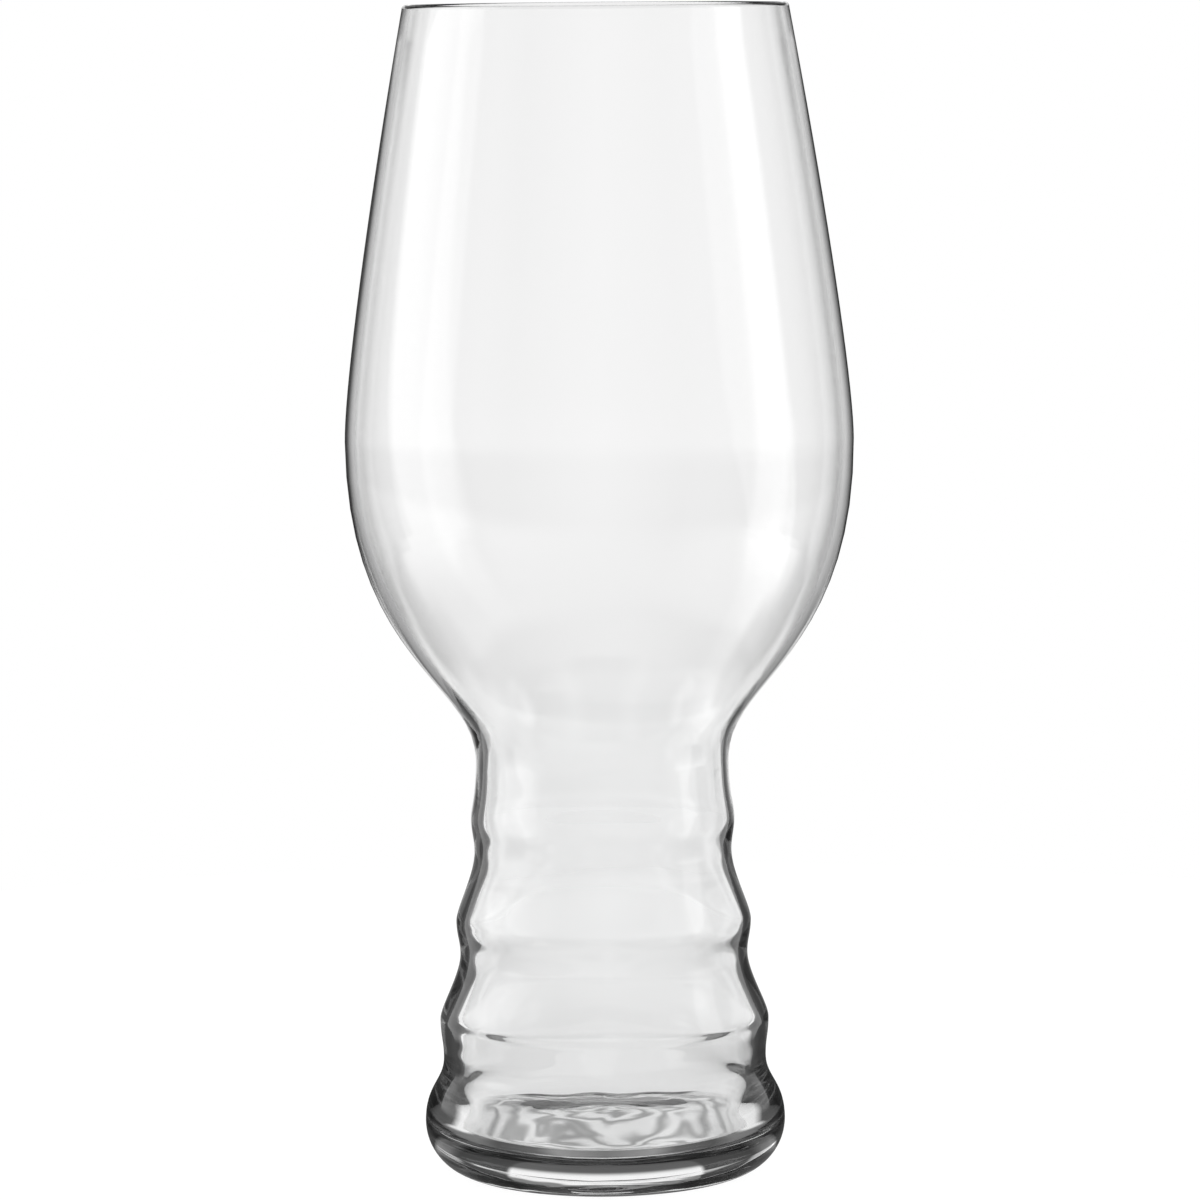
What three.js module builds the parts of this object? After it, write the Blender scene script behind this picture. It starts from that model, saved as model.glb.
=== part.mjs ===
// Tall beer glass for hop-forward ales: a tapered bowl on a hollow stem of three rounded rings
// and a heavy round foot. The glass is blown in one go, so bowl, stem and foot are a single wall.
// Millimetres, +Z up, the origin in the middle of the resting plane.

import * as THREE from "three";

// Outer radii of the wall, from the table up.
const restingRingRadius = 22.8; // outer edge of the flat ring that stands on the table
const footRadius = 29.5;
const lowerWaistRadius = 26.4;
const lowerRingRadius = 26.9;
const middleWaistRadius = 23.5;
const middleRingRadius = 24.1;
const upperWaistRadius = 21.0;
const upperRingRadius = 21.5;
const neckRadius = 20.6;
const bellyRadius = 41.2;
const mouthRadius = 31.1;

// Heights, each one the rise from the level below it.
const footRise = 8.0; // table to the widest level of the foot
const lowerWaistRise = 10.6;
const lowerRingRise = 6.2;
const middleWaistRise = 10.8;
const middleRingRise = 5.5;
const upperWaistRise = 11.4;
const upperRingRise = 5.5;
const neckRise = 9.7;
const bellyRise = 52.1;
const mouthRise = 70.2; // widest level of the bowl to the top of the lip

// Thickness of the wall, measured across at each level.
const footWall = 5.0;
const lowerWaistWall = 2.8;
const lowerRingWall = 3.0;
const middleWaistWall = 2.15;
const middleRingWall = 1.9;
const upperWaistWall = 1.85;
const upperRingWall = 1.7;
const neckWall = 1.5;
const bellyWall = 1.4;
const lipWall = 1.3;

// Bottom of the glass.
const restingRingWidth = 3.4;
const hollowDepth = 2.2; // shallow hollow under the foot, inside the resting ring
const bottomThickness = 4.3; // glass between the top of the hollow and the floor inside
const floorCornerWidth = 3.4; // radial reach of the rounded corner between floor and wall
const floorCornerRise = 2.4; // floor to the widest level inside the foot

// Lean of the outer wall at the lip: radius lost for each millimetre of height.
const lipTaper = 0.184;

// Fullness of the curves, as the share of the rise that a curve holds its direction
// at its lower and its upper end. The inside of the rings and of the bowl has its own, because
// the blown wall is thicker at the waists and under the bowl.
const footFullness = [0.45, 0.58];
const ringUnderside = [0.4, 0.42];
const ringShoulder = [0.17, 0.33];
const innerRingUnderside = [0.5, 0.36];
const innerRingShoulder = [0.14, 0.5];
const footShoulder = [0.53, 0.42];
const neckFullness = [0.19, 0.62];
const bowlFullness = [0.25, 0.68];
const innerBowlFullness = [0.24, 0.63];
const mouthFullness = [0.12, 0.48];
const floorCornerFullness = [0.5, 0.55];
const hollowFullness = [0.45, 0.35];

// Steps along each curve and round the axis.
const shortCurveSteps = 4;
const bowlCurveSteps = 10;
const mouthCurveSteps = 5;
const lipSteps = 6;
const stepsRound = 48;

const point = (radius, height) => new THREE.Vector2(radius, height);

// Shapes of the curve that leads up to a level, on the outside and on the inside of the wall.
const footCurves = { outside: footShoulder, inside: footShoulder };
const undersideCurves = { outside: ringUnderside, inside: innerRingUnderside };
const shoulderCurves = { outside: ringShoulder, inside: innerRingShoulder };
const neckCurves = { outside: neckFullness, inside: neckFullness };
const bowlCurves = { outside: bowlFullness, inside: innerBowlFullness };

// Wall levels from the foot to the belly, each with the curves that lead up to it.
const levels = [
  { radius: footRadius, rise: footRise, wall: footWall },
  { radius: lowerWaistRadius, rise: lowerWaistRise, wall: lowerWaistWall, curves: footCurves },
  { radius: lowerRingRadius, rise: lowerRingRise, wall: lowerRingWall, curves: undersideCurves },
  { radius: middleWaistRadius, rise: middleWaistRise, wall: middleWaistWall, curves: shoulderCurves },
  { radius: middleRingRadius, rise: middleRingRise, wall: middleRingWall, curves: undersideCurves },
  { radius: upperWaistRadius, rise: upperWaistRise, wall: upperWaistWall, curves: shoulderCurves },
  { radius: upperRingRadius, rise: upperRingRise, wall: upperRingWall, curves: undersideCurves },
  { radius: neckRadius, rise: neckRise, wall: neckWall, curves: neckCurves },
  { radius: bellyRadius, rise: bellyRise, wall: bellyWall, curves: bowlCurves },
];
let height = 0;
for (const level of levels) {
  height += level.rise;
  level.height = height;
}
const foot = levels[0];
const belly = levels[levels.length - 1];
const floorHeight = hollowDepth + bottomThickness;
const lipRadius = lipWall / 2; // the lip is rounded right across the wall
const lipHeight = belly.height + mouthRise - lipRadius;

// Curve between two levels where the wall stands upright at both.
function uprightCurve(from, to, [low, high]) {
  const rise = to.y - from.y;
  return new THREE.CubicBezierCurve(
    from,
    point(from.x, from.y + low * rise),
    point(to.x, to.y - high * rise),
    to,
  );
}

// Curve from a level surface out and up, or in and down, to an upright wall.
function turningCurve(flat, upright, [flatShare, uprightShare]) {
  return new THREE.CubicBezierCurve(
    flat,
    point(flat.x + flatShare * (upright.x - flat.x), flat.y),
    point(upright.x, upright.y + uprightShare * (flat.y - upright.y)),
    upright,
  );
}

// Curve from the upright belly to the leaning lip.
function mouthCurve(from, to, [low, high]) {
  const rise = to.y - from.y;
  return new THREE.CubicBezierCurve(
    from,
    point(from.x, from.y + low * rise),
    point(to.x + lipTaper * high * rise, to.y - high * rise),
    to,
  );
}

const outerPoint = (level) => point(level.radius, level.height);

// The inside is widest a little above its own floor, and elsewhere follows the outside.
function innerPoint(level) {
  const innerHeight = level === foot ? floorHeight + floorCornerRise : level.height;
  return point(level.radius - level.wall, innerHeight);
}

const stepsTo = (level) => (level === belly ? bowlCurveSteps : shortCurveSteps);

// One side of the wall, "outside" or "inside", from the foot to the lip.
function wallSide(side, place, lipPoint) {
  const points = [place(foot)];
  for (let i = 1; i < levels.length; i++) {
    const curve = uprightCurve(place(levels[i - 1]), place(levels[i]), levels[i].curves[side]);
    points.push(...curve.getPoints(stepsTo(levels[i])).slice(1));
  }
  const top = mouthCurve(place(belly), lipPoint, mouthFullness);
  points.push(...top.getPoints(mouthCurveSteps).slice(1));
  return points;
}

// Underside: the hollow, the flat resting ring and the rounded edge of the foot.
function underside() {
  const hollowTop = point(0, hollowDepth);
  const ringInner = point(restingRingRadius - restingRingWidth, 0);
  const ringOuter = point(restingRingRadius, 0);
  const [middleShare, edgeShare] = hollowFullness;
  const hollow = new THREE.CubicBezierCurve(
    hollowTop,
    point(middleShare * ringInner.x, hollowDepth),
    point((1 - edgeShare) * ringInner.x, 0),
    ringInner,
  );
  const edge = turningCurve(ringOuter, outerPoint(foot), footFullness);
  return [...hollow.getPoints(shortCurveSteps), ...edge.getPoints(shortCurveSteps).slice(0, -1)];
}

// Floor inside the foot, from the wall to the axis.
function floorInside() {
  const wallFoot = innerPoint(foot);
  const floorEdge = point(wallFoot.x - floorCornerWidth, floorHeight);
  const corner = turningCurve(floorEdge, wallFoot, floorCornerFullness);
  return [...corner.getPoints(shortCurveSteps).reverse().slice(1), point(0, floorHeight)];
}

// Closed outline of the wall: out along the underside, up the outside, over the lip and
// down the inside to the floor.
function wallOutline() {
  const lipCentre = point(mouthRadius - lipRadius, lipHeight);
  const outside = wallSide("outside", outerPoint, point(mouthRadius, lipHeight));
  const inside = wallSide("inside", innerPoint, point(mouthRadius - lipWall, lipHeight));
  const lip = new THREE.EllipseCurve(lipCentre.x, lipCentre.y, lipRadius, lipRadius, 0, Math.PI);
  return [
    ...underside(),
    ...outside,
    ...lip.getPoints(lipSteps).slice(1, -1),
    ...inside.reverse(),
    ...floorInside(),
  ];
}

const clearGlass = new THREE.MeshStandardMaterial({
  color: 0xf2f5f4,
  roughness: 0.03,
  metalness: 0,
  transparent: true,
  opacity: 0.35,
});

const glassBody = new THREE.Mesh(new THREE.LatheGeometry(wallOutline(), stepsRound), clearGlass);
glassBody.name = "glass_body";
glassBody.rotation.x = Math.PI / 2;

const glass = new THREE.Group();
glass.add(glassBody);

export default glass;
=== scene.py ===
import math

import bpy
from mathutils import Matrix, Vector, noise


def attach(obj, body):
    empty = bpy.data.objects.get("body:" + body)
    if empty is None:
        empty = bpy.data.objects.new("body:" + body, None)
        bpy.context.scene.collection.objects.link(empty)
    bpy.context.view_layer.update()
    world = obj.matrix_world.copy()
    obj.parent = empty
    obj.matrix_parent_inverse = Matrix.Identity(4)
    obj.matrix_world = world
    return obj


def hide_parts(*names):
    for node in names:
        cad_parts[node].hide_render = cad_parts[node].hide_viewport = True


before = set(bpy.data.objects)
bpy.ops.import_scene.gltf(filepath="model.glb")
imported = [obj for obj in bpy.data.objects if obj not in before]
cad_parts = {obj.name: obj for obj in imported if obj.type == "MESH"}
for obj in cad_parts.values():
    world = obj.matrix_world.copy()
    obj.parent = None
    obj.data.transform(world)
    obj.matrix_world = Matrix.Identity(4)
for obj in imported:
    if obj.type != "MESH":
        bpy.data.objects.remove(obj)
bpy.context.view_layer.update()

# Glass body. One wall of clear soda-lime glass, blown into a mould of rings: the tapered bowl
# runs down through the hollow stem into a heavy foot. The mouth is cut and fire-polished, and
# the foot stands on a flat ring round a shallow hollow.
MM = 0.001
RESTING_RING_RADIUS = 22.8
RESTING_RING_WIDTH = 3.4
HOLLOW_DEPTH = 2.2
BOTTOM_THICKNESS = 4.3
FLOOR_CORNER_WIDTH = 3.4
FLOOR_CORNER_RISE = 2.4
MOUTH_RISE = 70.2
MOUTH_RADIUS = 31.1
LIP_WALL = 1.3
LIP_TAPER = 0.184

# Share of a curve's rise, at its lower and upper end, that it holds its direction.
FOOT_FULLNESS = (0.45, 0.58)
FOOT_SHOULDER = (0.53, 0.42)
RING_UNDERSIDE = (0.40, 0.42)
RING_SHOULDER = (0.17, 0.33)
INNER_RING_UNDERSIDE = (0.50, 0.36)
INNER_RING_SHOULDER = (0.14, 0.50)
NECK_FULLNESS = (0.19, 0.62)
BOWL_FULLNESS = (0.25, 0.68)
INNER_BOWL_FULLNESS = (0.24, 0.63)
MOUTH_FULLNESS = (0.12, 0.48)
FLOOR_CORNER_FULLNESS = (0.5, 0.55)
HOLLOW_FULLNESS = (0.45, 0.35)
ARC_HANDLE = 0.5523  # handle of a quarter circle, as a share of its radius
STRAIGHT_HANDLE = 1 / 3  # handle of a straight run, as a share of its length

# Wall levels from foot to belly: outer radius, rise from the level below, wall thickness, and
# the fullness of the curve up to the level, outside and inside.
WALL_LEVELS = [
    (29.5, 8.0, 5.0, None, None),
    (26.4, 10.6, 2.8, FOOT_SHOULDER, FOOT_SHOULDER),
    (26.9, 6.2, 3.0, RING_UNDERSIDE, INNER_RING_UNDERSIDE),
    (23.5, 10.8, 2.15, RING_SHOULDER, INNER_RING_SHOULDER),
    (24.1, 5.5, 1.9, RING_UNDERSIDE, INNER_RING_UNDERSIDE),
    (21.0, 11.4, 1.85, RING_SHOULDER, INNER_RING_SHOULDER),
    (21.5, 5.5, 1.7, RING_UNDERSIDE, INNER_RING_UNDERSIDE),
    (20.6, 9.7, 1.5, NECK_FULLNESS, NECK_FULLNESS),
    (41.2, 52.1, 1.4, BOWL_FULLNESS, INNER_BOWL_FULLNESS),
]
FLOOR_HEIGHT = HOLLOW_DEPTH + BOTTOM_THICKNESS
BELLY_HEIGHT = sum(level[1] for level in WALL_LEVELS)
LIP_HEIGHT = BELLY_HEIGHT + MOUTH_RISE - LIP_WALL / 2
CURVE_STEPS = 18
TURN_STEPS = 168
MERGE_DISTANCE = 0.000005


def point(radius, height):
    return Vector((radius, 0.0, height))


def up(height):
    return Vector((0.0, 0.0, height))


def out(radius):
    return Vector((radius, 0.0, 0.0))


def wall_knots(inside):
    """Knots up one side of the wall, each with its handle below and its handle above."""
    knots = []
    height = 0.0
    for radius, rise, wall, outer_fullness, inner_fullness in WALL_LEVELS:
        height += rise
        place = point(radius, height)
        if inside:
            place = point(radius - wall, height if knots else FLOOR_HEIGHT + FLOOR_CORNER_RISE)
        knots.append([place, place, place])
        if len(knots) > 1:
            low, high = knots[-2:]
            span = high[0].z - low[0].z
            hold_low, hold_high = inner_fullness if inside else outer_fullness
            low[2] = low[0] + up(hold_low * span)
            high[1] = high[0] - up(hold_high * span)
    belly = knots[-1]
    lip = point(MOUTH_RADIUS - (LIP_WALL if inside else 0.0), LIP_HEIGHT)
    span = lip.z - belly[0].z
    reach = MOUTH_FULLNESS[1] * span
    belly[2] = belly[0] + up(MOUTH_FULLNESS[0] * span)
    knots.append([lip, lip + out(LIP_TAPER * reach) - up(reach), lip + up(ARC_HANDLE * LIP_WALL / 2)])
    return knots


def section_knots():
    """Half section of the glass, from the hollow round the outside and back to the floor."""
    outside = wall_knots(inside=False)
    inside = wall_knots(inside=True)
    hollow_top = point(0, HOLLOW_DEPTH)
    ring_inner = point(RESTING_RING_RADIUS - RESTING_RING_WIDTH, 0)
    ring_outer = point(RESTING_RING_RADIUS, 0)
    foot, inner_foot = outside[0], inside[0]
    edge = foot[0] - ring_outer
    foot[1] = foot[0] - up(FOOT_FULLNESS[1] * edge.z)
    floor_edge = point(inner_foot[0].x - FLOOR_CORNER_WIDTH, FLOOR_HEIGHT)
    corner = inner_foot[0] - floor_edge
    inner_foot[1] = inner_foot[0] - up(FLOOR_CORNER_FULLNESS[1] * corner.z)
    floor_middle = point(0, FLOOR_HEIGHT)
    lip_top = point(MOUTH_RADIUS - LIP_WALL / 2, LIP_HEIGHT + LIP_WALL / 2)
    lip_handle = out(ARC_HANDLE * LIP_WALL / 2)
    hollow_start = point(HOLLOW_FULLNESS[0] * ring_inner.x, HOLLOW_DEPTH)
    hollow_end = ring_inner * (1 - HOLLOW_FULLNESS[1])
    return [
        [hollow_top, hollow_top, hollow_start],
        [ring_inner, hollow_end, ring_inner.lerp(ring_outer, STRAIGHT_HANDLE)],
        [ring_outer, ring_outer.lerp(ring_inner, STRAIGHT_HANDLE),
         ring_outer + out(FOOT_FULLNESS[0] * edge.x)],
        *outside,
        [lip_top, lip_top + lip_handle, lip_top - lip_handle],
        *[[place, above, below] for place, below, above in reversed(inside)],
        [floor_edge, floor_edge + out(FLOOR_CORNER_FULLNESS[0] * corner.x),
         floor_edge.lerp(floor_middle, STRAIGHT_HANDLE)],
        [floor_middle, floor_middle.lerp(floor_edge, STRAIGHT_HANDLE), floor_middle],
    ]


bpy.ops.object.select_all(action="DESELECT")
bpy.ops.curve.primitive_bezier_curve_add()
section = bpy.context.object
section.data.resolution_u = CURVE_STEPS
spline = section.data.splines[0]
knots = section_knots()
spline.bezier_points.add(len(knots) - len(spline.bezier_points))
for knot, (place, before, after) in zip(spline.bezier_points, knots):
    knot.handle_left_type = "FREE"
    knot.handle_right_type = "FREE"
    knot.co = place * MM
    knot.handle_left = before * MM
    knot.handle_right = after * MM
bpy.ops.object.convert(target="MESH")
glass = bpy.context.object
glass.name = "clear_glass_body"
glass.data.name = "clear_glass_body"
bpy.ops.object.mode_set(mode="EDIT")
bpy.ops.mesh.select_all(action="SELECT")
bpy.ops.mesh.spin(steps=TURN_STEPS, angle=math.tau, center=(0, 0, 0), axis=(0, 0, 1))
bpy.ops.mesh.select_all(action="SELECT")
bpy.ops.mesh.remove_doubles(threshold=MERGE_DISTANCE)
bpy.ops.mesh.normals_make_consistent(inside=False)
bpy.ops.object.mode_set(mode="OBJECT")
bpy.ops.object.shade_smooth()

# The wall is uneven, as blown glass is: the inside of the stem sits a little off the axis and
# wavers, most of all just above the foot, and the floor inside has soft ripples where the hot
# glass settled.
VIEW_AZIMUTH = math.radians(45.0)  # turn of the photograph's side about the axis
STEM_DRIFTS = [0.0, 0.28, 0.42, 0.30, 0.42, 0.29, 0.38, 0.2, 0.0]  # one for each wall level
STEM_BOTTOM = 9.0
STEM_WAVER = 0.03
STEM_WAVER_SIZE = 9.0
WAVER_PER_DRIFT = 5.0  # lets the waver die out where the drift does
FOOT_WAVER = 0.10
FOOT_WAVER_WIDTH = 7.0
FOOT_WAVER_HEIGHT = 2.6
FOOT_WAVER_START = (STEM_BOTTOM, STEM_BOTTOM + 2)
FOOT_WAVER_END = (26.0, STEM_BOTTOM + 4)
RIPPLE_DEPTH = 0.06
RIPPLE_SPACING = 4.6
RIPPLE_WANDER = 1.6
RIPPLE_WANDER_SIZE = 2 * RIPPLE_SPACING
RIPPLE_START = (1.0, 7.0)  # distances from the wall between which the ripples grow
LEVEL_NORMAL = 0.5  # upward part of the normal, above which a spot counts as floor
LEVEL_REACH = 0.5 * FLOOR_CORNER_RISE
INNER_FOOT_RADIUS = WALL_LEVELS[0][0] - WALL_LEVELS[0][2]
right = Vector((math.cos(VIEW_AZIMUTH), math.sin(VIEW_AZIMUTH), 0.0))


def rise_between(value, start, end):
    share = min(max((value - start) / (end - start), 0.0), 1.0)
    return share * share * (3 - 2 * share)


def stem_drift(height):
    base = 0.0
    for below, drift, (_, rise, *_) in zip([0.0, *STEM_DRIFTS], STEM_DRIFTS, WALL_LEVELS):
        if height < base + rise:
            return below + (drift - below) * rise_between(height, base, base + rise)
        base += rise
    return 0.0


def stem_move(place, radial):
    """Drift and waver of a spot on the inside of the stem."""
    drift = stem_drift(place.z)
    waver = STEM_WAVER * min(1.0, WAVER_PER_DRIFT * drift) * noise.noise(place / STEM_WAVER_SIZE)
    low = rise_between(place.z, *FOOT_WAVER_END) * rise_between(place.z, *FOOT_WAVER_START)
    across = (place.x / FOOT_WAVER_WIDTH, place.y / FOOT_WAVER_WIDTH)
    waver += FOOT_WAVER * low * noise.noise(Vector((*across, place.z / FOOT_WAVER_HEIGHT)))
    return drift * right + waver * radial / radial.length


def floor_move(place, radial):
    """Ripple of a spot on the floor inside."""
    wander = RIPPLE_WANDER * noise.noise(place / RIPPLE_WANDER_SIZE)
    wave = math.sin(math.tau * (radial.length / RIPPLE_SPACING + wander))
    inward = rise_between(INNER_FOOT_RADIUS - radial.length, *RIPPLE_START)
    return up(RIPPLE_DEPTH * inward * wave)


moves = []
for vertex in glass.data.vertices:
    place = vertex.co / MM
    radial = Vector((place.x, place.y, 0.0))
    move = Vector()
    if radial.dot(vertex.normal) < 0 and place.z > STEM_BOTTOM:
        move = stem_move(place, radial)
    elif vertex.normal.z > LEVEL_NORMAL and abs(place.z - FLOOR_HEIGHT) < LEVEL_REACH:
        move = floor_move(place, radial)
    moves.append(move * MM)
for vertex, move in zip(glass.data.vertices, moves):
    vertex.co += move


def add_node(tree, kind, label, **settings):
    node = tree.nodes.new("ShaderNode" + kind)
    node.label = label
    for name, value in settings.items():
        setattr(node, name, value)
    return node


def feed(tree, socket, value):
    """Give a socket another node's output, or a plain value."""
    if isinstance(value, bpy.types.NodeSocket):
        tree.links.new(value, socket)
    else:
        socket.default_value = value


def calculate(tree, operation, first, second=0.0):
    """One Math node, fed by sockets or plain numbers."""
    node = add_node(tree, "Math", operation.lower(), operation=operation)
    feed(tree, node.inputs[0], first)
    feed(tree, node.inputs[1], second)
    return node.outputs[0]


def product(tree, first, *others):
    """Sockets or plain numbers multiplied one after the other."""
    for other in others:
        first = calculate(tree, "MULTIPLY", first, other)
    return first


def fade(tree, value, start, end, low=0.0, high=1.0):
    """Smooth change from low at start to high at end."""
    node = add_node(tree, "MapRange", "fade", interpolation_type="SMOOTHSTEP")
    feed(tree, node.inputs["Value"], value)
    swap = start > end
    node.inputs["From Min"].default_value = min(start, end)
    node.inputs["From Max"].default_value = max(start, end)
    node.inputs["To Min"].default_value = high if swap else low
    node.inputs["To Max"].default_value = low if swap else high
    return node.outputs["Result"]


# The glass is clear, a touch greyer where the wall is thick, and finely scratched on the ring
# that it stands on. A range gives where a change starts and ends and, where they aren't 0 and
# 1, the values there. From here on, lengths are in metres and directions in degrees.
GLASS_IOR = 1.52
THIN_GLASS = (1.0, 1.0, 1.0, 1.0)
THICK_GLASS = (0.974, 0.976, 0.976, 1.0)
THICK_HEIGHTS = (0.086, 0.074)
MELT_SCALE = 40.0
MELT_CLOUDS = (0.3, 0.7)
MELT_UNEVENNESS = 0.06
SCRATCH_SCALE = 900.0
SCRATCH_CLOUDS = (0.35, 0.65)
WORN_HEIGHTS = (0.0003, 0.00005)
WORN_ROUGHNESS = 0.2
clear_glass = bpy.data.materials.new("clear_glass")
clear_glass.use_nodes = True
tree = clear_glass.node_tree
shader = tree.nodes["Principled BSDF"]
shader.inputs["IOR"].default_value = GLASS_IOR
shader.inputs["Transmission Weight"].default_value = 1.0
on_glass = add_node(tree, "TexCoord", "place on the glass").outputs["Object"]
glass_axes = add_node(tree, "SeparateXYZ", "height on the glass")
feed(tree, glass_axes.inputs["Vector"], on_glass)
glass_height = glass_axes.outputs["Z"]
melt = add_node(tree, "TexNoise", "uneven melt")
feed(tree, melt.inputs["Vector"], on_glass)
melt.inputs["Scale"].default_value = MELT_SCALE
thick = fade(tree, glass_height, *THICK_HEIGHTS)
uneven = fade(tree, melt.outputs["Fac"], *MELT_CLOUDS, -MELT_UNEVENNESS, MELT_UNEVENNESS)
tint = add_node(tree, "Mix", "greyer where thicker", data_type="RGBA")
feed(tree, tint.inputs["Factor"], calculate(tree, "ADD", thick, uneven))
feed(tree, tint.inputs["A"], THIN_GLASS)
feed(tree, tint.inputs["B"], THICK_GLASS)
feed(tree, shader.inputs["Base Color"], tint.outputs["Result"])
scratches = add_node(tree, "TexNoise", "fine scratches")
feed(tree, scratches.inputs["Vector"], on_glass)
scratches.inputs["Scale"].default_value = SCRATCH_SCALE
scratched = fade(tree, scratches.outputs["Fac"], *SCRATCH_CLOUDS)
worn = product(tree, fade(tree, glass_height, *WORN_HEIGHTS), scratched, WORN_ROUGHNESS)
feed(tree, shader.inputs["Roughness"], worn)
glass.data.materials.clear()
glass.data.materials.append(clear_glass)
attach(glass, "root")
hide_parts("glass_body")

# Camera. It looks slightly down on the glass from the photograph's side, with a long lens, and
# leans a little, as the photograph does.
EYE_DISTANCE = 0.8827
EYE_HEIGHT = 0.198
AIM_HEIGHT = 0.0936
AIM_SIDE = -0.00012
FOCAL_PIXELS = 5468.0
PHOTO_PIXELS = 1200.0
SENSOR_WIDTH = 36.0
NEAREST_SEEN = 0.01
LEAN = math.radians(0.52)
away = Vector((-math.sin(VIEW_AZIMUTH), math.cos(VIEW_AZIMUTH), 0.0))
eye = up(EYE_HEIGHT) - away * EYE_DISTANCE
bpy.ops.object.camera_add(location=eye)
camera = bpy.context.object
camera.data.sensor_width = SENSOR_WIDTH
camera.data.lens = FOCAL_PIXELS / PHOTO_PIXELS * SENSOR_WIDTH
camera.data.clip_start = NEAREST_SEEN
look = (up(AIM_HEIGHT) + right * AIM_SIDE - eye).to_track_quat("-Z", "Y").to_matrix()
camera.rotation_euler = (look @ Matrix.Rotation(-LEAN, 3, "Z")).to_euler()
bpy.context.scene.camera = camera

# Floor. A plain white table top, matt and a little shaded near the foot. What the glass mirrors
# of it is painted in greys by direction: white straight behind, painted shade to both sides, where
# black cards stand, and painted light of the softboxes further out.
FLOOR_RADIUS = 0.30
FLOOR_SIDES = 96
FLOOR_GAP = 0.00003  # between the table top and the resting ring
FLOOR_MATT = 0.14
FLOOR_WHITE = 0.95

# Mirrored greys by degrees from straight behind, painted shade and painted light: under the foot,
# round it, near it and far off.
FOOT_GREYS = [
    (0, 0.95), (14, 0.95), (20, 0.2), (115, 0.2), (128, 0.08), (148, 0.12), (158, 0.3), (180, 0.18),
]
ROUND_GREYS = [
    (0, 0.95), (14, 0.95), (20, 0.1), (78, 0.1), (86, 0.9), (100, 0.9), (110, 0.1), (135, 0.2),
    (150, 0.4), (165, 0.1), (180, 0.1),
]
NEAR_GREYS = [
    (0, 0.3), (14, 0.3), (19, 0.22), (25, 0.3), (33, 0.38), (39, 0.55), (43, 0.85), (50, 0.85),
    (56, 0.25), (110, 0.25), (130, 0.38), (180, 0.45),
]
FAR_GREYS = [
    (0, 0.95), (14, 0.8), (19, 0.15), (25, 0.3), (33, 0.4), (38, 0.5), (45, 0.5), (56, 0.3),
    (110, 0.28), (130, 0.33), (180, 0.33),
]
ROUND_RADII = (0.029, 0.035)
NEAR_RADII = (0.060, 0.064)
FAR_RADII = (0.17, 0.22)
# Painted light of the softboxes on the floor to either side, seen only in what the glass mirrors.
BOX_GLOW_RISE = (68, 78)
BOX_GLOW_FALL = (116, 106)
BOX_GLOW_RADII = (0.12, 0.30)
LEFT_WHEN_DEEP = 0.15  # share of a painted grey kept for light mirrored more than once inside the wall: painted shade

# Greys seen straight through the glass: contours of light gathered under the foot, the shade
# round it, and the shadow of the resting ring behind.
CONTOUR_SCALE = 110.0
CONTOUR_DETAIL = 1.0
CONTOUR_TWIST = 0.8
CONTOUR_RINGS = 420.0  # for each metre of radius
CONTOUR_WANDER = 7.0
CONTOUR_WIDTH = 1.0
CONTOUR_SHADE = (0.0, 0.8, 0.35, 0.88)
CONTOUR_RADII = (0.018, 0.026)
FLOOR_SHADE = (0.034, 0.20, 0.76, 0.84)
RING_SHADOW_START = (0.0220, 0.0235)
RING_SHADOW_END = (0.0290, 0.0272)
RING_SHADOW_SIDES = (43, 34)
RING_SHADOW_GREY = 0.05


def between(tree, share, first, second):
    """Value that goes from first to second as the share goes from 0 to 1."""
    node = add_node(tree, "Mix", "between")
    feed(tree, node.inputs["Factor"], share)
    feed(tree, node.inputs["A"], first)
    feed(tree, node.inputs["B"], second)
    return node.outputs["Result"]


def stretch(tree, value, rise, fall):
    """1 from a soft rise to a soft fall, and 0 beyond them."""
    return product(tree, fade(tree, value, *rise), fade(tree, value, *fall))


def greys(tree, value, stops):
    """Grey level that follows a list of (value, grey) stops."""
    lowest, highest = stops[0][0], stops[-1][0]
    share = fade(tree, value, lowest, highest)
    share.node.interpolation_type = "LINEAR"
    node = add_node(tree, "ValToRGB", "greys")
    feed(tree, node.inputs["Fac"], share)
    elements = node.color_ramp.elements
    while len(elements) < len(stops):
        elements.new(0.5)
    for element, (stop, grey) in zip(elements, stops):
        element.position = (stop - lowest) / (highest - lowest)
        element.color = (grey, grey, grey, 1.0)
    return node.outputs["Color"]


def photo_axes(tree, vector):
    """Parts of a vector along the photograph's right, straight behind the glass and up."""
    turn = add_node(tree, "VectorRotate", "turned to the photograph's side", rotation_type="Z_AXIS")
    feed(tree, turn.inputs["Vector"], vector)
    turn.inputs["Angle"].default_value = -VIEW_AZIMUTH
    axes = add_node(tree, "SeparateXYZ", "right, behind, up")
    feed(tree, axes.inputs["Vector"], turn.outputs["Vector"])
    return tuple(axes.outputs)


def degrees_aside(tree, across, behind):
    """Degrees to the right of straight behind the glass, and degrees to either side."""
    azimuth = calculate(tree, "DEGREES", calculate(tree, "ARCTAN2", across, behind))
    return azimuth, calculate(tree, "ABSOLUTE", azimuth)


def length_of(tree, first, second):
    squares = [calculate(tree, "MULTIPLY", part, part) for part in (first, second)]
    return calculate(tree, "SQRT", calculate(tree, "ADD", *squares))


def mirrored(tree, path):
    """1 for light that the glass mirrored on its way, 0 for light straight through it."""
    return calculate(tree, "MINIMUM", path.outputs["Glossy Depth"], 1.0)


def painted_dim_when_deep(tree, path, grey, left=LEFT_WHEN_DEEP):
    """Grey as seen after one mirroring, and painted dimmer after more."""
    deep = fade(tree, path.outputs["Glossy Depth"], 1.0, 2.0)
    return product(tree, grey, between(tree, deep, 1.0, left))


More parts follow.
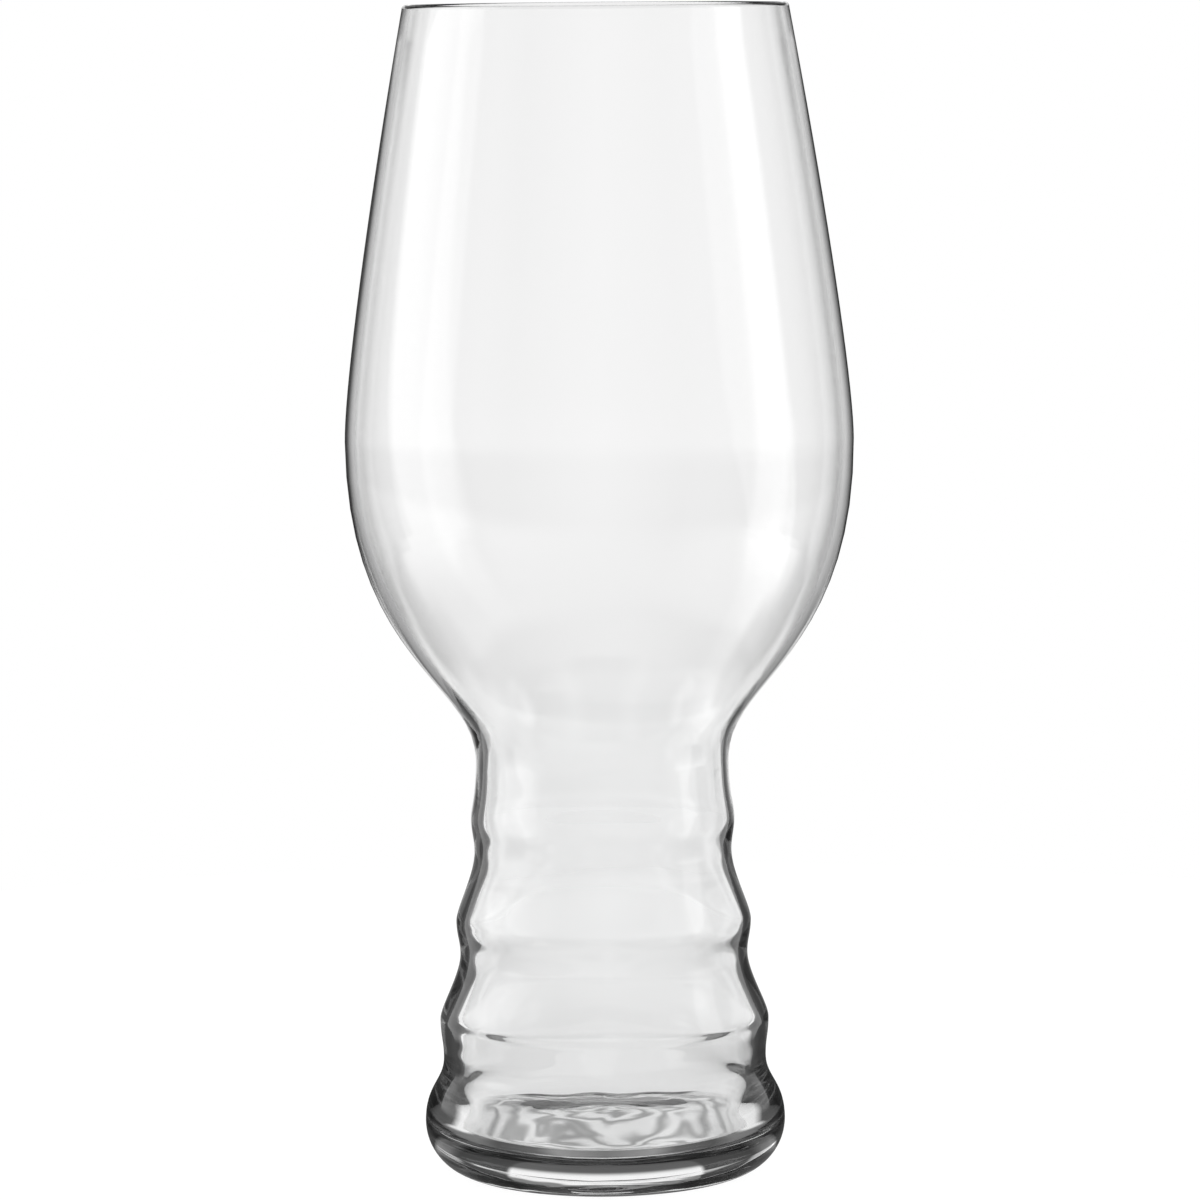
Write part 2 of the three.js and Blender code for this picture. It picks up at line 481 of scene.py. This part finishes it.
bpy.ops.object.select_all(action="DESELECT")
bpy.ops.mesh.primitive_circle_add(vertices=FLOOR_SIDES, radius=FLOOR_RADIUS, fill_type="NGON",
                                  location=(0, 0, -FLOOR_GAP))
bpy.ops.object.transform_apply(location=True)
floor = bpy.context.object
floor.name = "studio_floor"
white_table = bpy.data.materials.new("white_table")
white_table.use_nodes = True
tree = white_table.node_tree
tree.nodes.clear()
path = add_node(tree, "LightPath", "path")
on_floor = add_node(tree, "TexCoord", "place on the floor").outputs["Object"]
across, behind, _ = photo_axes(tree, on_floor)
_, aside = degrees_aside(tree, across, behind)
radius = length_of(tree, across, behind)
under_foot = greys(tree, aside, FOOT_GREYS)
round_foot = greys(tree, aside, ROUND_GREYS)
near_foot = greys(tree, aside, NEAR_GREYS)
far_off = greys(tree, aside, FAR_GREYS)
inner_greys = between(tree, fade(tree, radius, *ROUND_RADII), under_foot, round_foot)
outer_greys = between(tree, fade(tree, radius, *FAR_RADII), near_foot, far_off)
floor_greys = between(tree, fade(tree, radius, *NEAR_RADII), inner_greys, outer_greys)
# Painted pool of softbox light on the floor, for light that the glass mirrors.
box_sides = stretch(tree, aside, BOX_GLOW_RISE, BOX_GLOW_FALL)
box_glow = product(tree, box_sides, fade(tree, radius, *BOX_GLOW_RADII))
floor_mirrored = calculate(tree, "ADD", floor_greys, box_glow)
clouds = add_node(tree, "TexNoise", "light gathered under the foot")
feed(tree, clouds.inputs["Vector"], on_floor)
clouds.inputs["Scale"].default_value = CONTOUR_SCALE
clouds.inputs["Detail"].default_value = CONTOUR_DETAIL
clouds.inputs["Distortion"].default_value = CONTOUR_TWIST
rings = product(tree, radius, CONTOUR_RINGS)
rings = calculate(tree, "ADD", rings, product(tree, clouds.outputs["Fac"], CONTOUR_WANDER))
contours = calculate(tree, "PINGPONG", rings, CONTOUR_WIDTH)
gathered = fade(tree, contours, *CONTOUR_SHADE)
# Painted shade round the foot, painted contours of gathered light under it and the painted shadow of
# the resting ring, for light seen straight through the glass.
painted_light_and_shade = fade(tree, radius, *FLOOR_SHADE)
painted_light_and_shade = between(tree, fade(tree, radius, *CONTOUR_RADII), gathered, painted_light_and_shade)
ring_shadow = stretch(tree, radius, RING_SHADOW_START, RING_SHADOW_END)
ring_shadow = product(tree, ring_shadow, fade(tree, aside, *RING_SHADOW_SIDES))
painted_light_and_shade = between(tree, ring_shadow, painted_light_and_shade, RING_SHADOW_GREY)
glow = add_node(tree, "Emission", "seen through the glass")
glow_strength = between(tree, path.outputs["Is Camera Ray"], painted_light_and_shade, FLOOR_WHITE)
feed(tree, glow.inputs["Strength"], glow_strength)
matt = add_node(tree, "BsdfDiffuse", "matt top")
matt.inputs["Color"].default_value = (FLOOR_MATT, FLOOR_MATT, FLOOR_MATT, 1.0)
white_top = add_node(tree, "AddShader", "white top")
feed(tree, white_top.inputs[0], glow.outputs[0])
feed(tree, white_top.inputs[1], matt.outputs[0])
reflection = add_node(tree, "Emission", "seen in reflections")
feed(tree, reflection.inputs["Strength"], painted_dim_when_deep(tree, path, floor_mirrored))
floor_mix = add_node(tree, "MixShader", "straight or mirrored")
feed(tree, floor_mix.inputs["Fac"], mirrored(tree, path))
feed(tree, floor_mix.inputs[1], white_top.outputs[0])
feed(tree, floor_mix.inputs[2], reflection.outputs[0])
floor_output = add_node(tree, "OutputMaterial", "surface")
feed(tree, floor_output.inputs["Surface"], floor_mix.outputs[0])
floor.data.materials.append(white_table)

# Black cards. A low band stands behind and beside the glass, where photographers set black cards to
# give clear glass dark edges. It glows with painted greys that only light the glass mirrors finds,
# so it paints the glass's dark edges and reflections: white paper straight behind, black to both
# sides and white again beyond.
CARD_RADIUS = 0.050
CARD_HEIGHT = 0.062
CARD_SIDES = 96

# Greys by degrees from straight behind: the middle of the band, its top, the white beyond the
# black, and the lowest part.
CARD_GREYS = [(0, 0.8), (30, 0.8), (35, 0.25), (45, 0.16), (48, 0.06), (110, 0.06)]
TOP_CARD_GREYS = [
    (0, 0.85), (38, 0.85), (42, 0.45), (46, 0.2), (50, 0.12), (56, 0.06), (110, 0.06),
]
BEYOND_GREYS = [
    (0, 0), (58, 0), (60, 0.1), (62, 0.14), (63.5, 0.95), (72, 0.95), (85, 0.75), (110, 0.55),
]
LOW_CARD_GREYS = [(0, 1.0), (23.5, 1.0), (25.5, 0.05), (66, 0.05), (75, 0.15), (110, 0.15)]
TOP_CARD_HEIGHTS = (0.049, 0.054)
LOW_CARD_HEIGHTS = (0.013, 0.017)

# Degrees that the white beyond is moved outwards, at the top, the middle and the foot of the band.
TOP_SHIFT = (-40, 40, 0.0, -4.0)
MIDDLE_SHIFT = 5.0
MIDDLE_SHIFT_HEIGHTS = (0.055, 0.038)
LOW_SHIFT = 14.0
LOW_SHIFT_HEIGHTS = (0.024, 0.014)

# A painted grey patch straight behind, for light mirrored once, and how much of the painted grey is
# kept after more.
PATCH_HEIGHTS = (0.018, 0.026)
PATCH_SIDES = (16, 11)
PATCH_MIRRORINGS = (2.0, 1.0)
PATCH_GREY = 0.22
DEEP_WHITE_SIDES = (34, 30)
DEEP_WHITE_HEIGHTS = (0.038, 0.034)
DEEP_WHITE_SHARE = (2.0, 4.0, 1.1, LEFT_WHEN_DEEP)

# Where the card ends: at its far sides, in a gap below the white paper and in a soft top edge.
CARD_ENDS = (105, 85)
LOW_GAP_SIDES = (30, 36)
SOFT_TOP_SIDES = (70, 80)
SOFT_TOP_HEIGHTS = (CARD_HEIGHT, 0.046)
bpy.ops.object.select_all(action="DESELECT")
bpy.ops.mesh.primitive_cylinder_add(vertices=CARD_SIDES, radius=CARD_RADIUS, depth=CARD_HEIGHT,
                                    end_fill_type="NOTHING", location=(0, 0, CARD_HEIGHT / 2))
bpy.ops.object.transform_apply(location=True)
band = bpy.context.object
band.name = "black_cards"
black_card = bpy.data.materials.new("black_card")
black_card.use_nodes = True
tree = black_card.node_tree
tree.nodes.clear()
path = add_node(tree, "LightPath", "path")
on_card = add_node(tree, "TexCoord", "place on the card").outputs["Object"]
across, behind, height = photo_axes(tree, on_card)
azimuth, aside = degrees_aside(tree, across, behind)
shift = between(tree, fade(tree, height, *MIDDLE_SHIFT_HEIGHTS), fade(tree, azimuth, *TOP_SHIFT),
                MIDDLE_SHIFT)
shift = between(tree, fade(tree, height, *LOW_SHIFT_HEIGHTS), shift, LOW_SHIFT)
shifted = calculate(tree, "SUBTRACT", aside, shift)
black_greys = between(tree, fade(tree, height, *TOP_CARD_HEIGHTS), greys(tree, aside, CARD_GREYS),
                      greys(tree, aside, TOP_CARD_GREYS))
band_greys = calculate(tree, "ADD", black_greys, greys(tree, shifted, BEYOND_GREYS))
low_greys = greys(tree, aside, LOW_CARD_GREYS)
above_low = fade(tree, height, *LOW_CARD_HEIGHTS)
card_grey = between(tree, above_low, low_greys, band_greys)
patch = product(tree, fade(tree, height, *PATCH_HEIGHTS), fade(tree, aside, *PATCH_SIDES),
                fade(tree, path.outputs["Glossy Depth"], *PATCH_MIRRORINGS))
card_grey = between(tree, patch, card_grey, PATCH_GREY)
deep_white = product(tree, fade(tree, aside, *DEEP_WHITE_SIDES),
                     fade(tree, height, *DEEP_WHITE_HEIGHTS))
deep_white_share = fade(tree, path.outputs["Glossy Depth"], *DEEP_WHITE_SHARE)
deep_left = between(tree, deep_white, LEFT_WHEN_DEEP, deep_white_share)
card = add_node(tree, "Emission", "card")
feed(tree, card.inputs["Strength"], painted_dim_when_deep(tree, path, card_grey, deep_left))
unseen = add_node(tree, "BsdfTransparent", "unseen")
low_gap = between(tree, above_low, fade(tree, aside, *LOW_GAP_SIDES), 1.0)
soft_top = between(tree, fade(tree, aside, *SOFT_TOP_SIDES), 1.0,
                   fade(tree, height, *SOFT_TOP_HEIGHTS))
present = product(tree, fade(tree, aside, *CARD_ENDS), low_gap, soft_top)
card_mix = add_node(tree, "MixShader", "straight or mirrored")
feed(tree, card_mix.inputs["Fac"], product(tree, mirrored(tree, path), present))
feed(tree, card_mix.inputs[1], unseen.outputs[0])
feed(tree, card_mix.inputs[2], card.outputs[0])
card_output = add_node(tree, "OutputMaterial", "surface")
feed(tree, card_output.inputs["Surface"], card_mix.outputs[0])
band.data.materials.append(black_card)

# Studio. A pale room with a dark ceiling, a white backdrop behind the glass, black flags beside
# it and a tall softbox on either side. It surrounds everything, so it is the world itself, with
# its parts set by degrees of azimuth and elevation.
LIGHT_BOUNCES = 32
GLASS_BOUNCES = 24
STUDIO_GREYS = [
    (-180, 0.64), (-165, 0.5), (-140, 0.25), (-124, 0.45), (-70, 0.85), (-56, 0.85), (-48, 0.62),
    (-42, 0.62), (-39, 1.35), (-34, 0.98), (-24, 0.62), (-18, 0.12), (0, 0.0), (12, 0.05),
    (18, 0.34), (30, 0.95), (35, 1.1), (38, 0.45), (44, 0.5), (52, 0.65), (80, 0.6), (110, 0.45),
    (120, 0.62), (150, 0.62), (180, 0.64),
]
WALL_SHADE = (-30, 25, 0.5, 1.0)
LEFT_BOX_LEAN = (-4, 2, 0.3, 0.9)
LEFT_BOX_RISE = (-114, -110)
LEFT_BOX_FALL = (-68, -72)
LEFT_BOX_SHADE = (-112, -85, 0.5, 1.0)
LEFT_BOX_LIGHT = 0.95
RIGHT_BOX_RISE = (83, 86)
RIGHT_BOX_FALL = (106, 103)
RIGHT_BOX_LIGHT = 0.55
BOX_FOOT = (-30, -18)
BACKDROP_FOOT = (0, 4)
BACKDROP_SIDES = (25, 23)
BACKDROP_SHADE = (6, 10, 1.0, 0.25)
FLAG_START = (23, 25)
FLAG_END = (48, 42)
FLAG_FOOT = (4, 7)
FLAG_GREY = 0.06
SWEEP_TOP = (-8, -13)
SWEEP_SIDES = (18, 14)
SWEEP_GREY = 0.8
CEILING_BEHIND = (18, 27)
CEILING_BESIDE = (22, 60)
CEILING_SIDES = (50, 62)
CEILING_SHADE = (34, 42, 0.08, 0.24)
CEILING_BESIDE_GREY = 0.04
CEILING_GREY_SIDES = (60, 90)

# Share of the painted room greys kept for light mirrored more than once, a painted darkening: behind,
# beside and low down.
DEEP_BEHIND = (34, 42, LEFT_WHEN_DEEP, 1.0)
DEEP_BESIDE = (12, 22, LEFT_WHEN_DEEP, 0.05)
DEEP_SIDES = (60, 75)
DEEP_LOW_SIDES = (80, 60)
DEEP_LOW_TOP = (-1, -4)
DEEP_LOW_SHARE = 0.7

# The backdrop as seen straight through the glass.
THROUGH_TOP = (10.5, 16, 1.0, 0.12)
THROUGH_FOOT = (-11, -6, 0.93, 1.0)
CREASE_TOP = (-5.3, -5.9)
CREASE_FOOT = (-7.7, -7.0)
CREASE_SHADE = (0, 3, 0.97, 0.93)
THROUGH_EDGE = (0, 6)
THROUGH_SIDES = (23, 25)
THROUGH_SIDE_GREY = 0.06
ROOM_LIGHT = 0.8
ROOM_WHITE = 1.0
scene = bpy.context.scene
scene.view_settings.view_transform = "Standard"
scene.cycles.max_bounces = LIGHT_BOUNCES
scene.cycles.glossy_bounces = GLASS_BOUNCES
scene.cycles.transmission_bounces = GLASS_BOUNCES
studio = bpy.data.worlds.new("studio")
scene.world = studio
studio.use_nodes = True
tree = studio.node_tree
path = add_node(tree, "LightPath", "path")
direction = add_node(tree, "TexCoord", "direction").outputs["Generated"]
across, behind, height = photo_axes(tree, direction)
azimuth, aside = degrees_aside(tree, across, behind)
elevation = calculate(tree, "DEGREES", calculate(tree, "ARCSINE", height))
walls = product(tree, greys(tree, azimuth, STUDIO_GREYS), fade(tree, elevation, *WALL_SHADE))
lean = product(tree, elevation, fade(tree, elevation, *LEFT_BOX_LEAN))
along = calculate(tree, "SUBTRACT", azimuth, lean)
left_box = product(tree, stretch(tree, along, LEFT_BOX_RISE, LEFT_BOX_FALL),
                   fade(tree, along, *LEFT_BOX_SHADE), fade(tree, elevation, *BOX_FOOT),
                   LEFT_BOX_LIGHT)
right_box = product(tree, stretch(tree, azimuth, RIGHT_BOX_RISE, RIGHT_BOX_FALL),
                    fade(tree, elevation, *BOX_FOOT), RIGHT_BOX_LIGHT)
walls = calculate(tree, "ADD", walls, calculate(tree, "ADD", left_box, right_box))
backdrop = product(tree, fade(tree, elevation, *BACKDROP_FOOT), fade(tree, aside, *BACKDROP_SIDES))
walls = between(tree, backdrop, walls, fade(tree, elevation, *BACKDROP_SHADE))
flags = product(tree, stretch(tree, aside, FLAG_START, FLAG_END), fade(tree, elevation, *FLAG_FOOT))
walls = between(tree, flags, walls, FLAG_GREY)
sweep = product(tree, fade(tree, elevation, *SWEEP_TOP), fade(tree, aside, *SWEEP_SIDES))
walls = between(tree, sweep, walls, SWEEP_GREY)
ceiling = between(tree, fade(tree, aside, *CEILING_SIDES), fade(tree, elevation, *CEILING_BEHIND),
                  fade(tree, elevation, *CEILING_BESIDE))
ceiling_grey = between(tree, fade(tree, aside, *CEILING_GREY_SIDES),
                       fade(tree, elevation, *CEILING_SHADE), CEILING_BESIDE_GREY)
room = between(tree, ceiling, walls, ceiling_grey)
deep_left = between(tree, fade(tree, aside, *DEEP_SIDES), fade(tree, elevation, *DEEP_BEHIND),
                    fade(tree, elevation, *DEEP_BESIDE))
deep_low = product(tree, fade(tree, aside, *DEEP_LOW_SIDES), fade(tree, elevation, *DEEP_LOW_TOP))
deep_left = between(tree, deep_low, deep_left, DEEP_LOW_SHARE)
room_mirrored = painted_dim_when_deep(tree, path, room, deep_left)
crease = stretch(tree, elevation, CREASE_TOP, CREASE_FOOT)
crease_shade = between(tree, crease, 1.0, fade(tree, aside, *CREASE_SHADE))
room_through = product(tree, fade(tree, elevation, *THROUGH_TOP),
                       fade(tree, elevation, *THROUGH_FOOT), crease_shade)
off_backdrop = product(tree, fade(tree, elevation, *THROUGH_EDGE), fade(tree, aside, *THROUGH_SIDES))
room_through = between(tree, off_backdrop, room_through, THROUGH_SIDE_GREY)
seen = between(tree, mirrored(tree, path), room_through, room_mirrored)
scattered = calculate(tree, "MINIMUM", path.outputs["Diffuse Depth"], 1.0)
seen = between(tree, scattered, seen, ROOM_LIGHT)
seen = between(tree, path.outputs["Is Camera Ray"], seen, ROOM_WHITE)
background = tree.nodes["Background"]
feed(tree, background.inputs["Color"], seen)
background.inputs["Strength"].default_value = 1.0
